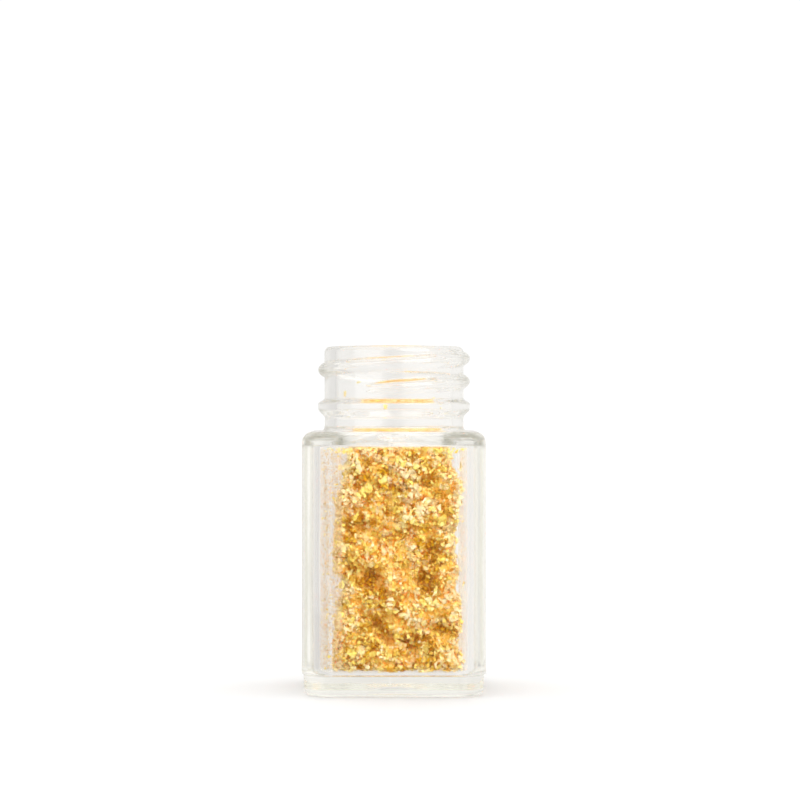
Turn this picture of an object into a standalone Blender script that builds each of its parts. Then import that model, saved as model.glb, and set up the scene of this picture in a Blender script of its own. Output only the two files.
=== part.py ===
"""Square glass sample bottle with a screw neck, holding a loose charge of gold leaf flakes.

Metres, +Z up, along the bottle's axis. The origin is under the middle of the base, on the plane that
the bottle stands on. -Y is the front. The charge of flakes leans on the +X wall, and slides along X.
"""

import math
import random

import bmesh
import bpy
from mathutils import Matrix, Vector

MM = 0.001

# Body: a square with round vertical edges
BODY_HALF = 11.85 * MM
BODY_CORNER = 3.4 * MM
SHOULDER_Z = 33.9 * MM
SHOULDER_EDGE = 1.4 * MM
CORNER_STEPS = 8
EDGE_STEPS = 4

# Base: the mould's bottom plate left a line around the heel, and the base inside it is a little smaller
PARTING_Z = 2.8 * MM
BASE_INSET = 0.25 * MM
HEEL_EDGE = 1.1 * MM
RECESS_RADIUS = 7.6 * MM
RECESS_DEPTH = 0.7 * MM

# Inside: walls of 2 mm, a thick base, and a low dome in the floor over the recess
WALL = 2.0 * MM
CAVITY_HALF = BODY_HALF - WALL
CAVITY_CORNER = 2.2 * MM
CAVITY_EDGE = 1.0 * MM
FLOOR_Z = 2.6 * MM
CEILING_Z = 32.2 * MM
DOME_RADIUS = 7.0 * MM
DOME_HEIGHT = 0.5 * MM

# Neck: a 20 mm screw finish
RIM_Z = 45.0 * MM
BORE_RADIUS = 7.6 * MM
NECK_RADIUS = 9.17 * MM
CREST_RADIUS = 10.0 * MM
RIM_EDGE = 0.75 * MM
NECK_FILLET = 0.6 * MM
BEAD_BOTTOM_Z = 35.6 * MM
BEAD_TOP_Z = 38.15 * MM
BEAD_TOP_SLOPE = 0.5 * MM
BEAD_UNDER_SLOPE = 1.1 * MM
BEAD_CROWN = 0.12 * MM
NECK_STEPS = 72

# Thread: one ridge of round section, winding up to the right from just left of the front
THREAD_PITCH = 3.03 * MM
THREAD_SECTION = 0.85 * MM
THREAD_START_Z = 39.45 * MM
THREAD_START = math.radians(-24)
THREAD_SWEEP = math.radians(540)
THREAD_FADE = math.radians(30)
THREAD_STEPS = 64

# The gap between pieces that touch in use
GAP = 0.3 * MM

# Charge: the packed flakes, clear of the loose flakes that cling to the glass around them
CLING = 0.8 * MM
CHARGE_LEFT = -7.6 * MM
CHARGE_RIGHT = CAVITY_HALF - CLING
CHARGE_DEPTH_HALF = CAVITY_HALF - CLING - 0.1 * MM
CHARGE_BOTTOM_Z = FLOOR_Z + GAP
CHARGE_TOP_Z = CEILING_Z - GAP
CHARGE_CUTS = 5
CHARGE_ROUGH = 0.35 * MM

# Loose flakes
FLAKE_THICKNESS = 0.1 * MM
FLAKE_SMALL = 0.40 * MM
FLAKE_LARGE = 0.80 * MM
FLAKE_GAP = 0.25 * MM
NECK_FLAKES = 5
NECK_FLAKE_START = math.radians(-110)
NECK_FLAKE_STEP = math.radians(75)
SEED = 23

OBJECT_NAME = "gold_sample_bottle"


def clear_scene():
    for obj in list(bpy.data.objects):
        bpy.data.objects.remove(obj, do_unlink=True)


def collection(name):
    found = bpy.data.collections.new(name)
    bpy.context.scene.collection.children.link(found)
    return found


def material(name, color, roughness, metallic=0.0, transmission=0.0):
    mat = bpy.data.materials.new(name)
    mat.use_nodes = True
    shader = mat.node_tree.nodes["Principled BSDF"]
    shader.inputs["Base Color"].default_value = (*color, 1.0)
    shader.inputs["Roughness"].default_value = roughness
    shader.inputs["Metallic"].default_value = metallic
    shader.inputs["Transmission Weight"].default_value = transmission
    return mat


def object_from(bm, name, where):
    bmesh.ops.recalc_face_normals(bm, faces=bm.faces)
    mesh = bpy.data.meshes.new(name)
    bm.to_mesh(mesh)
    bm.free()
    obj = bpy.data.objects.new(name, mesh)
    where.objects.link(obj)
    return obj


def bevel(bm, edges, width, steps):
    bmesh.ops.bevel(
        bm, geom=edges, offset=width, segments=steps, profile=0.5, affect="EDGES", clamp_overlap=True
    )


def level_edges(bm, z):
    """The edges that lie in the plane at height z, around its outline."""
    flat = [e for e in bm.edges if all(abs(v.co.z - z) < 0.01 * MM for v in e.verts)]
    return [e for e in flat if len(e.link_faces) == 2 and e.calc_face_angle() > math.radians(60)]


def rounded_block(name, where, half, corner, low, high, low_edge, high_edge):
    """A square block with round vertical edges, and round edges of their own at its bottom and top."""
    bm = bmesh.new()
    bmesh.ops.create_cube(bm, size=1.0)
    bmesh.ops.scale(bm, vec=(2 * half, 2 * half, high - low), verts=bm.verts)
    bmesh.ops.translate(bm, vec=(0, 0, (high + low) / 2), verts=bm.verts)
    upright = [e for e in bm.edges if abs(e.verts[0].co.z - e.verts[1].co.z) > 0.1 * MM]
    bevel(bm, upright, corner, CORNER_STEPS)
    if low_edge:
        bevel(bm, level_edges(bm, low), low_edge, EDGE_STEPS)
    if high_edge:
        bevel(bm, level_edges(bm, high), high_edge, EDGE_STEPS)
    return object_from(bm, name, where)


def arc(cx, cz, radius, start, end, steps):
    """Points of an arc in the profile plane; the angles are in degrees, 0 outwards and 90 up."""
    turns = [math.radians(start + (end - start) * i / steps) for i in range(steps + 1)]
    return [(cx + radius * math.cos(a), cz + radius * math.sin(a)) for a in turns]


def turned(name, where, profile):
    """A closed solid of revolution from a profile that runs down its outer side, axis to axis."""
    bm = bmesh.new()
    verts = [bm.verts.new((x, 0.0, z)) for x, z in profile]
    for a, b in zip(verts, verts[1:]):
        bm.edges.new((a, b))
    mesh = bpy.data.meshes.new(name)
    bm.to_mesh(mesh)
    bm.free()
    obj = bpy.data.objects.new(name, mesh)
    where.objects.link(obj)
    screw = obj.modifiers.new("Turn", "SCREW")
    screw.axis = "Z"
    screw.steps = NECK_STEPS
    screw.render_steps = NECK_STEPS
    screw.use_merge_vertices = True
    screw.merge_threshold = 0.00001
    return obj


def as_mesh(obj):
    """The object with its modifiers or curve made into a plain, welded mesh."""
    name = obj.name
    where = obj.users_collection[0]
    mesh = bpy.data.meshes.new_from_object(obj.evaluated_get(bpy.context.evaluated_depsgraph_get()))
    bm = bmesh.new()
    bm.from_mesh(mesh)
    bmesh.ops.remove_doubles(bm, verts=bm.verts, dist=0.000005)
    bmesh.ops.recalc_face_normals(bm, faces=bm.faces)
    bm.to_mesh(mesh)
    bm.free()
    matrix = obj.matrix_world.copy()
    bpy.data.objects.remove(obj, do_unlink=True)
    made = bpy.data.objects.new(name, mesh)
    made.matrix_world = matrix
    where.objects.link(made)
    return made


def boolean(obj, other, operation):
    other.hide_render = True
    other.display_type = "WIRE"
    mod = obj.modifiers.new(other.name, "BOOLEAN")
    mod.operation = operation
    mod.solver = "EXACT"
    mod.object = other


def neck_solid(cutters):
    """The neck without its bore: rim, plain wall, transfer bead, and a fillet into the shoulder."""
    bead_high = BEAD_TOP_Z - BEAD_TOP_SLOPE
    bead_low = BEAD_BOTTOM_Z + BEAD_UNDER_SLOPE
    profile = [(0.0, RIM_Z)]
    profile += arc(NECK_RADIUS - RIM_EDGE, RIM_Z - RIM_EDGE, RIM_EDGE, 90, 0, 5)
    profile += [
        (NECK_RADIUS, BEAD_TOP_Z),
        (CREST_RADIUS - BEAD_CROWN, bead_high),
        (CREST_RADIUS, (bead_high + bead_low) / 2),
        (CREST_RADIUS - BEAD_CROWN, bead_low),
        (NECK_RADIUS, BEAD_BOTTOM_Z),
    ]
    profile += arc(NECK_RADIUS + NECK_FILLET, SHOULDER_Z + NECK_FILLET, NECK_FILLET, 180, 270, 3)
    profile += [(NECK_RADIUS + NECK_FILLET, CEILING_Z + GAP), (0.0, CEILING_Z + GAP)]
    return as_mesh(turned("neck_blank", cutters, profile))


def thread_ridge(cutters):
    """A helix of round section whose ends grow out of the neck wall and sink back into it."""
    curve = bpy.data.curves.new("thread_blank", "CURVE")
    curve.dimensions = "3D"
    curve.bevel_depth = THREAD_SECTION
    curve.bevel_resolution = 2
    curve.use_fill_caps = True
    spline = curve.splines.new("POLY")
    spline.points.add(THREAD_STEPS)
    for i, point in enumerate(spline.points):
        turn = THREAD_SWEEP * i / THREAD_STEPS
        edge = min(turn, THREAD_SWEEP - turn) / THREAD_FADE
        rise = math.sin(min(1.0, edge) * math.pi / 2)
        radius = CREST_RADIUS - THREAD_SECTION - (1 - rise) * 0.5 * MM
        angle = THREAD_START + turn
        z = THREAD_START_Z + THREAD_PITCH * turn / math.tau
        point.co = (radius * math.sin(angle), -radius * math.cos(angle), z, 1.0)
        point.radius = 0.3 + 0.7 * rise
    obj = bpy.data.objects.new("thread_blank", curve)
    cutters.objects.link(obj)
    return as_mesh(obj)


def glass_bottle(parts, cutters, mat):
    bottle = rounded_block(
        "glass_bottle", parts, BODY_HALF, BODY_CORNER, PARTING_Z, SHOULDER_Z, 0, SHOULDER_EDGE
    )
    base = rounded_block(
        "base_blank", cutters, BODY_HALF - BASE_INSET, BODY_CORNER - BASE_INSET,
        0.0, PARTING_Z + 2 * MM, HEEL_EDGE, 0,
    )
    boolean(bottle, base, "UNION")
    boolean(bottle, neck_solid(cutters), "UNION")
    boolean(bottle, thread_ridge(cutters), "UNION")

    cavity = rounded_block(
        "cavity_cutter", cutters, CAVITY_HALF, CAVITY_CORNER, FLOOR_Z, CEILING_Z, CAVITY_EDGE, CAVITY_EDGE
    )
    boolean(bottle, cavity, "DIFFERENCE")

    bore = [(0.0, RIM_Z + 2 * MM), (BORE_RADIUS, RIM_Z + 2 * MM)]
    bore += [(BORE_RADIUS, CEILING_Z - 2 * MM), (0.0, CEILING_Z - 2 * MM)]
    boolean(bottle, as_mesh(turned("bore_cutter", cutters, bore)), "DIFFERENCE")

    dome = [(DOME_RADIUS * math.sin(a), FLOOR_Z + DOME_HEIGHT * math.cos(a)) for a in quarter(6)]
    dome += [(DOME_RADIUS, FLOOR_Z - 0.5 * MM), (0.0, FLOOR_Z - 0.5 * MM)]
    boolean(bottle, as_mesh(turned("floor_dome", cutters, dome)), "UNION")

    recess = [(RECESS_RADIUS * math.sin(a), RECESS_DEPTH * math.cos(a)) for a in quarter(6)]
    recess += [(RECESS_RADIUS, -1 * MM), (0.0, -1 * MM)]
    boolean(bottle, as_mesh(turned("recess_cutter", cutters, recess)), "DIFFERENCE")

    bottle = as_mesh(bottle)
    bottle.data.materials.append(mat)
    bottle.data.shade_smooth()
    bottle.data.set_sharp_from_angle(angle=math.radians(35))
    return bottle


def quarter(steps):
    """Angles from 0 to a right angle."""
    return [math.pi / 2 * i / steps for i in range(steps + 1)]


def flake_charge(parts, mat):
    """The packed mass: a lumpy block with its lower middle raised over the floor's dome."""
    rng = random.Random(SEED)
    bm = bmesh.new()
    bmesh.ops.create_cube(bm, size=2.0)
    bmesh.ops.subdivide_edges(bm, edges=bm.edges, cuts=CHARGE_CUTS, use_grid_fill=True)
    middle_x = (CHARGE_LEFT + CHARGE_RIGHT) / 2
    half_x = (CHARGE_RIGHT - CHARGE_LEFT) / 2
    middle_z = (CHARGE_BOTTOM_Z + CHARGE_TOP_Z) / 2
    half_z = (CHARGE_TOP_Z - CHARGE_BOTTOM_Z) / 2
    for vert in bm.verts:
        across, along, up = vert.co
        push = [rng.uniform(-CHARGE_ROUGH, 0.0) for _ in range(3)]
        reach = (half_x + push[0], CHARGE_DEPTH_HALF + push[1], half_z + push[2])
        vert.co = (middle_x + across * reach[0], along * reach[1], middle_z + up * reach[2])
        if up < -0.99:
            vert.co.z += DOME_HEIGHT * max(0.0, 1.3 - vert.co.xy.length / DOME_RADIUS)
    charge = object_from(bm, "gold_flake_charge", parts)
    soft = charge.modifiers.new("Soft", "SUBSURF")
    soft.levels = 1
    soft.render_levels = 1
    charge.data.materials.append(mat)
    charge.data.shade_smooth()
    return charge


def flake_mesh(name, rng, size):
    """An irregular plate with five to seven corners, flat in its own XY plane."""
    corners = rng.randint(5, 7)
    bm = bmesh.new()
    bmesh.ops.create_circle(bm, cap_ends=True, radius=size, segments=corners)
    stretch = rng.uniform(0.65, 1.0)
    for vert in bm.verts:
        vert.co *= rng.uniform(0.72, 1.0)
        vert.co.y *= stretch
    top = bmesh.ops.extrude_face_region(bm, geom=bm.faces[:])["geom"]
    raised = [v for v in top if isinstance(v, bmesh.types.BMVert)]
    bmesh.ops.translate(bm, vec=(0, 0, FLAKE_THICKNESS), verts=raised)
    bmesh.ops.translate(bm, vec=(0, 0, -FLAKE_THICKNESS / 2), verts=bm.verts)
    bmesh.ops.recalc_face_normals(bm, faces=bm.faces)
    mesh = bpy.data.meshes.new(name)
    bm.to_mesh(mesh)
    bm.free()
    return mesh


def wall_strips():
    """The walls that loose flakes cling to: inward normal, range across, range up, and how many."""
    flat = CAVITY_HALF - CAVITY_CORNER - GAP
    return [
        (Vector((1, 0, 0)), (-flat, flat), (5 * MM, 30 * MM), 15),
        (Vector((-1, 0, 0)), (-flat, flat), (6 * MM, 30 * MM), 6),
        (Vector((0, 1, 0)), (-flat, -flat + 0.9 * MM), (6 * MM, 30 * MM), 7),
        (Vector((0, -1, 0)), (-flat, -flat + 1.2 * MM), (6 * MM, 30 * MM), 6),
    ]


def flakes_on_walls(rng):
    """Size, place and normal of each flake on the flat walls, clear of the flakes placed before it."""
    placed = []
    for normal, across, up, number in wall_strips():
        side = Vector((1, 0, 0)) if normal.y else Vector((0, 1, 0))
        wall = -normal * (CAVITY_HALF - GAP - FLAKE_THICKNESS / 2)
        wanted = len(placed) + number
        while len(placed) < wanted:
            size = rng.uniform(FLAKE_SMALL, FLAKE_LARGE)
            place = wall + side * rng.uniform(*across) + Vector((0, 0, rng.uniform(*up)))
            if all((place - other).length > size + reach + FLAKE_GAP for reach, other, _ in placed):
                placed.append((size, place, normal))
    return placed


def flakes_in_neck(rng):
    """Size, place and normal of each flake in the bore, where its corners are nearest the glass."""
    placed = []
    for number in range(NECK_FLAKES):
        size = rng.uniform(FLAKE_SMALL, FLAKE_LARGE) * 0.8
        turn = NECK_FLAKE_START + NECK_FLAKE_STEP * number
        normal = Vector((-math.sin(turn), math.cos(turn), 0))
        sag = BORE_RADIUS - math.sqrt(BORE_RADIUS**2 - size**2)
        height = rng.uniform(SHOULDER_Z + 2 * MM, RIM_Z - 3 * MM)
        out = BORE_RADIUS - sag - GAP - FLAKE_THICKNESS / 2
        placed.append((size, -normal * out + Vector((0, 0, height)), normal))
    return placed


def loose_flakes(parts, mat):
    rng = random.Random(SEED)
    flakes = flakes_on_walls(rng) + flakes_in_neck(rng)
    for count, (size, place, normal) in enumerate(flakes, start=1):
        name = f"loose_flake_{count:02d}"
        mesh = flake_mesh(name, rng, size)
        mesh.materials.append(mat)
        obj = bpy.data.objects.new(name, mesh)
        lie = normal.to_track_quat("Z", "Y").to_matrix().to_4x4()
        spin = Matrix.Rotation(rng.uniform(0, math.tau), 4, "Z")
        obj.matrix_world = Matrix.Translation(place) @ lie @ spin
        parts.objects.link(obj)


def main():
    clear_scene()
    parts = collection(OBJECT_NAME)
    cutters = collection("cutters")
    glass = material("clear_glass", (0.93, 0.95, 0.93), 0.02, transmission=1.0)
    leaf = material("gold_leaf", (0.93, 0.66, 0.22), 0.35, metallic=1.0)
    packed = material("packed_gold_leaf", (0.85, 0.58, 0.20), 0.5, metallic=0.6)
    glass_bottle(parts, cutters, glass)
    flake_charge(parts, packed)
    loose_flakes(parts, leaf)
    bpy.context.view_layer.update()


main()
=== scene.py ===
"""The looks of an open square glass sample bottle with a screw neck, full of gold leaf flakes.

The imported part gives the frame: glass_bottle, gold_flake_charge, which slides along X, and the
loose flakes that cling to the glass. Everything here is in metres, +Z up, with the front at -Y.
"""

import math

import bmesh
import bpy
import numpy as np
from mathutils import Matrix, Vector


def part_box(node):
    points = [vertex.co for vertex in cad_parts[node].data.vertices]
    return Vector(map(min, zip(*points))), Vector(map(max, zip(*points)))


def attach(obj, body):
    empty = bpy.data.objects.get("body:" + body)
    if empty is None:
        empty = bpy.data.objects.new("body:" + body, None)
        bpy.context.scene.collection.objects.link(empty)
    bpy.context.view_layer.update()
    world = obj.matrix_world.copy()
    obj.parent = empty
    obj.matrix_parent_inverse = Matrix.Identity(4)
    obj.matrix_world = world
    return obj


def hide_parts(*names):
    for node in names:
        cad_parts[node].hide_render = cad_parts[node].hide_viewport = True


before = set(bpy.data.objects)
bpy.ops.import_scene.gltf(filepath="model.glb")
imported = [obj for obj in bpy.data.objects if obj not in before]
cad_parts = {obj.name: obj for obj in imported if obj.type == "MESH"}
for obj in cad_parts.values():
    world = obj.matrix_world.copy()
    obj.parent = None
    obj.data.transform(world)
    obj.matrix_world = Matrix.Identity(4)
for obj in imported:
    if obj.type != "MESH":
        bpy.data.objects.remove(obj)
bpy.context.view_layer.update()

MM = 0.001
SEED = 23

# The bottle's outer sizes come from its CAD box
bottle_low, bottle_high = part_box("glass_bottle")
BODY_HALF = bottle_high.x
RIM_Z = bottle_high.z
BODY_CORNER = 3.4 * MM
SHOULDER_Z = 33.9 * MM
SHOULDER_EDGE = 1.4 * MM
PARTING_Z = 2.8 * MM
BASE_INSET = 0.25 * MM
PARTING_STEP = 0.16 * MM
HEEL_EDGE = 1.1 * MM
RECESS_RADIUS = 7.6 * MM
RECESS_DEPTH = 0.7 * MM

WALL = 2.0 * MM
CAVITY_HALF = BODY_HALF - WALL
CAVITY_CORNER = 2.2 * MM
CAVITY_EDGE = 1.0 * MM
CEILING_EDGE = 0.3 * MM
FLOOR_Z = 2.6 * MM
CEILING_Z = 32.2 * MM
DOME_RADIUS = 7.0 * MM
DOME_HEIGHT = 0.5 * MM
WALL_WAVE = 0.02 * MM

BORE_RADIUS = 7.6 * MM
NECK_RADIUS = 9.17 * MM
CREST_RADIUS = 10.0 * MM
RIM_EDGE = 0.75 * MM
MOUTH_EDGE = 0.4 * MM
THROAT_EDGE = 0.9 * MM
NECK_FILLET = 0.6 * MM
BORE_SWAY = 0.03 * MM
BEAD_BOTTOM_Z = 35.6 * MM
BEAD_TOP_Z = 38.15 * MM
BEAD_TOP_SLOPE = 0.7 * MM
BEAD_UNDER_SLOPE = 1.2 * MM
BEAD_BLUNTNESS = 0.7

THREAD_PITCH = 3.03 * MM
THREAD_HALF_WIDTH = 0.95 * MM
THREAD_START_Z = 39.45 * MM
THREAD_START = math.radians(-24)
THREAD_SWEEP = math.radians(540)
THREAD_FADE = math.radians(28)
# The share of the ridge's width that is left where it runs out, and how blunt its crest is
THREAD_END_WIDTH = 0.45
THREAD_BLUNTNESS = 0.8

SEAM_ANGLE = math.radians(-2)
SEAM_HEIGHT = 0.035 * MM
SEAM_WIDTH = 0.09 * MM

# Columns of the glass mesh in each quarter turn, on a flat side and around a corner
FLAT_COLUMNS = 42
CORNER_COLUMNS = 24
SEAM_COLUMNS = (-1.5, -1.0, -0.6, -0.3, 0.0, 0.3, 0.6, 1.0, 1.5)
CLOSEST_COLUMNS = math.radians(0.18)

# Rings of the mesh: heights up the plain side in millimetres, and shares of the parting step
SIDE_RINGS = (3.6, 4.5, 6, 9, 12, 15, 18, 21, 24, 27, 30, 31.5)
PARTING_RINGS = (-2.0, -1.0, 0.0, 0.15, 0.3, 0.5, 0.7, 0.85, 1.0, 1.3, 2.5)


def smooth(t):
    t = np.clip(t, 0.0, 1.0)
    return t * t * (3 - 2 * t)


def new_object(name, data):
    obj = bpy.data.objects.new(name, data)
    bpy.context.scene.collection.objects.link(obj)
    return obj


# ---------------------------------------------------------------- glass


def column_angles():
    """Angles of the mesh's columns about the axis, 0 at the front, closer at corners and seams."""
    edge = math.atan((BODY_HALF - BODY_CORNER) / BODY_HALF)
    angles = []
    for quarter in range(4):
        middle = quarter * math.pi / 2
        side = np.linspace(-edge, edge, FLAT_COLUMNS, endpoint=False)
        corner = np.linspace(edge, math.pi / 2 - edge, CORNER_COLUMNS, endpoint=False)
        angles += list(middle + side) + list(middle + corner)
    for seam in (SEAM_ANGLE, SEAM_ANGLE + math.pi):
        angles += [seam + math.radians(d) for d in SEAM_COLUMNS]
    angles = np.unique(np.round(np.mod(angles, math.tau), 6))
    keep = np.append(np.diff(angles) > CLOSEST_COLUMNS, True)
    return angles[keep]


def square_radius(angles, half, corner):
    """Distance from the axis to a square outline with round corners."""
    along = np.maximum(np.abs(np.sin(angles)), np.abs(np.cos(angles)))
    across = np.minimum(np.abs(np.sin(angles)), np.abs(np.cos(angles)))
    flat = half / along
    middle = half - corner
    total = middle * (along + across)
    inside = np.maximum(total**2 - 2 * middle**2 + corner**2, 0.0)
    return np.where(flat * across <= middle, flat, total + np.sqrt(inside))


def bump(z, low, high, slope):
    """1 between low and high, falling smoothly to 0 over a slope at each end, inside them."""
    return smooth((z - low) / slope) * smooth((high - z) / slope)


def thread_height(angles, z):
    """How far the thread's ridge stands out of the neck wall at a height z."""
    height = np.zeros_like(angles)
    for turn in range(3):
        swept = np.mod(angles - THREAD_START, math.tau) + math.tau * turn
        inside = swept <= THREAD_SWEEP
        fade = np.clip(np.minimum(swept, THREAD_SWEEP - swept) / THREAD_FADE, 0.0, 1.0)
        rise = np.sin(fade * math.pi / 2) * inside
        half_width = THREAD_HALF_WIDTH * (THREAD_END_WIDTH + (1 - THREAD_END_WIDTH) * rise)
        away = (z - THREAD_START_Z - THREAD_PITCH * swept / math.tau) / half_width
        shape = np.clip(1 - away**2, 0.0, 1.0) ** THREAD_BLUNTNESS
        height = np.maximum(height, shape * rise)
    return height * (CREST_RADIUS - NECK_RADIUS)


def seam_height(angles, radius, z):
    """The fine ridge that the two halves of the mould leave down the front and the back."""
    fade = smooth((z - HEEL_EDGE) / (1 * MM)) * smooth((BEAD_BOTTOM_Z - z) / (1 * MM))
    total = np.zeros_like(angles)
    for seam in (SEAM_ANGLE, SEAM_ANGLE + math.pi):
        off = (np.mod(angles - seam + math.pi, math.tau) - math.pi) * radius
        total += np.exp(-((off / SEAM_WIDTH) ** 2))
    return total * SEAM_HEIGHT * fade


def wall_wave(angles, z):
    """Slow unevenness of the inside, as blowing leaves it."""
    x, y = np.sin(angles), np.cos(angles)
    wave = np.sin(3.1 * x + z / (5.5 * MM)) + np.sin(4.3 * y - z / (7.5 * MM) + 1.2)
    wave += np.sin(7.0 * x * y + z / (3.6 * MM) + 0.5)
    return WALL_WAVE * wave * bump(z, FLOOR_Z, CEILING_Z, 4 * MM)


def quarter_arc(steps):
    return np.linspace(0.0, math.pi / 2, steps + 1)


def outside_rings(angles):
    """(radius at each column, height) of each ring from under the bottle's middle up to the rim."""
    base_half = BODY_HALF - BASE_INSET
    base_corner = BODY_CORNER - BASE_INSET
    rings = []
    for share in np.linspace(0.1, 1.0, 10):
        z = RECESS_DEPTH * (1 + math.cos(math.pi * share)) / 2
        rings.append((np.full_like(angles, RECESS_RADIUS * share), z))
    stand = square_radius(angles, base_half - HEEL_EDGE, base_corner - HEEL_EDGE)
    for share in (0.05, 0.35, 0.65, 0.95):
        rings.append((RECESS_RADIUS + (stand - RECESS_RADIUS) * share, 0.0))
    for a in quarter_arc(9):
        grow = HEEL_EDGE * (1 - math.sin(a))
        z = HEEL_EDGE * (1 - math.cos(a))
        rings.append((square_radius(angles, base_half - grow, base_corner - grow), z))
    for share in PARTING_RINGS:
        inset = BASE_INSET * (1 - float(smooth(share)))
        z = PARTING_Z - PARTING_STEP / 2 + PARTING_STEP * share
        rings.append((square_radius(angles, BODY_HALF - inset, BODY_CORNER - inset), z))
    side = square_radius(angles, BODY_HALF, BODY_CORNER)
    top = SHOULDER_Z - SHOULDER_EDGE
    for z in SIDE_RINGS:
        rings.append((side, z * MM))
    rings.append((side, top - 0.3 * MM))
    rings.append((side, top - 0.06 * MM))
    for a in quarter_arc(12):
        cut = SHOULDER_EDGE * (1 - math.cos(a))
        z = top + SHOULDER_EDGE * math.sin(a)
        rings.append((square_radius(angles, BODY_HALF - cut, BODY_CORNER - cut), z))
    plate = square_radius(angles, BODY_HALF - SHOULDER_EDGE, BODY_CORNER - SHOULDER_EDGE)
    foot = NECK_RADIUS + NECK_FILLET
    for share in (0.06, 0.3, 0.6, 0.94):
        rings.append((plate + (foot - plate) * share, SHOULDER_Z))
    for a in quarter_arc(7):
        z = SHOULDER_Z + NECK_FILLET * (1 - math.cos(a))
        rings.append((np.full_like(angles, foot - NECK_FILLET * math.sin(a)), z))
    for z in np.arange(SHOULDER_Z + NECK_FILLET + 0.1 * MM, BEAD_BOTTOM_Z - 0.01 * MM, 0.35 * MM):
        rings.append((np.full_like(angles, NECK_RADIUS), z))
    for z in np.linspace(BEAD_BOTTOM_Z, BEAD_TOP_Z, 26):
        swell = smooth((BEAD_TOP_Z - z) / BEAD_TOP_SLOPE) ** BEAD_BLUNTNESS
        swell *= smooth((z - BEAD_BOTTOM_Z) / BEAD_UNDER_SLOPE)
        rings.append((np.full_like(angles, NECK_RADIUS + (CREST_RADIUS - NECK_RADIUS) * swell), z))
    for z in np.arange(BEAD_TOP_Z + 0.08 * MM, RIM_Z - RIM_EDGE - 0.02 * MM, 0.085 * MM):
        rings.append((NECK_RADIUS + thread_height(angles, z), z))
    for a in quarter_arc(8):
        out = NECK_RADIUS - RIM_EDGE * (1 - math.cos(a))
        z = RIM_Z - RIM_EDGE * (1 - math.sin(a))
        rings.append((out + thread_height(angles, z), z))
    return rings


def inside_rings(angles):
    """The same from the rim down the bore, over the ceiling and down the wall to the floor."""
    rings = [(np.full_like(angles, (NECK_RADIUS - RIM_EDGE + BORE_RADIUS + MOUTH_EDGE) / 2), RIM_Z)]
    for a in quarter_arc(6):
        r = BORE_RADIUS + MOUTH_EDGE * (1 - math.sin(a))
        rings.append((np.full_like(angles, r), RIM_Z - MOUTH_EDGE * (1 - math.cos(a))))
    low = CEILING_Z + THROAT_EDGE
    for z in np.linspace(RIM_Z - MOUTH_EDGE - 0.1 * MM, low + 0.05 * MM, 14):
        fade = bump(z, low, RIM_Z - MOUTH_EDGE, 2 * MM)
        sway = BORE_SWAY * np.sin(2 * angles + z / (2.8 * MM)) * fade
        rings.append((BORE_RADIUS + sway, z))
    for a in quarter_arc(8):
        r = BORE_RADIUS + THROAT_EDGE * (1 - math.cos(a))
        rings.append((np.full_like(angles, r), low - THROAT_EDGE * math.sin(a)))
    mouth = BORE_RADIUS + THROAT_EDGE
    plate = square_radius(angles, CAVITY_HALF - CEILING_EDGE, CAVITY_CORNER - CEILING_EDGE)
    for share in (0.1, 0.5, 0.9):
        rings.append((mouth + (plate - mouth) * share, CEILING_Z))
    for a in quarter_arc(6):
        cut = CEILING_EDGE * (1 - math.sin(a))
        z = CEILING_Z - CEILING_EDGE * (1 - math.cos(a))
        rings.append((square_radius(angles, CAVITY_HALF - cut, CAVITY_CORNER - cut), z))
    wall = square_radius(angles, CAVITY_HALF, CAVITY_CORNER)
    for z in np.linspace(CEILING_Z - CEILING_EDGE - 0.1 * MM, FLOOR_Z + CAVITY_EDGE + 0.1 * MM, 26):
        rings.append((wall + wall_wave(angles, z), z))
    for a in quarter_arc(8):
        cut = CAVITY_EDGE * (1 - math.cos(a))
        z = FLOOR_Z + CAVITY_EDGE * (1 - math.sin(a))
        rings.append((square_radius(angles, CAVITY_HALF - cut, CAVITY_CORNER - cut), z))
    plate = square_radius(angles, CAVITY_HALF - CAVITY_EDGE, CAVITY_CORNER - CAVITY_EDGE)
    for share in (0.1, 0.5, 0.9):
        rings.append((plate + (DOME_RADIUS - plate) * share, FLOOR_Z))
    for share in np.linspace(0.97, 0.08, 10):
        z = FLOOR_Z + DOME_HEIGHT * (1 + math.cos(math.pi * share)) / 2
        rings.append((np.full_like(angles, DOME_RADIUS * share), z))
    return rings


def glass_mesh():
    """One closed skin: rings joined by quads, with a fan in the middle of underside and floor."""
    angles = column_angles()
    columns = len(angles)
    rings = outside_rings(angles) + inside_rings(angles)
    points = []
    for radius, z in rings:
        radius = radius + seam_height(angles, radius, z) * (radius > CAVITY_HALF + 0.5 * WALL)
        ring = [radius * np.sin(angles), -radius * np.cos(angles), np.full(columns, z)]
        points.append(np.stack(ring, axis=1))
    verts = np.concatenate(points + [[[0, 0, RECESS_DEPTH]], [[0, 0, FLOOR_Z + DOME_HEIGHT]]])
    here = np.arange(columns)
    after = (here + 1) % columns
    faces = []
    for ring in range(len(rings) - 1):
        a, b = ring * columns, (ring + 1) * columns
        faces += np.stack([a + here, a + after, b + after, b + here], axis=1).tolist()
    under, floor = len(rings) * columns, len(rings) * columns + 1
    last = (len(rings) - 1) * columns
    faces += [(under, a, h) for h, a in zip(here.tolist(), after.tolist())]
    faces += [(floor, last + h, last + a) for h, a in zip(here.tolist(), after.tolist())]
    mesh = bpy.data.meshes.new("clear_glass_bottle")
    mesh.from_pydata(verts.tolist(), [], faces)
    mesh.shade_smooth()
    return mesh


# ---------------------------------------------------------------- gold leaf

CREASE = math.radians(50)
RIPPLE_WAVES = 28
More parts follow.
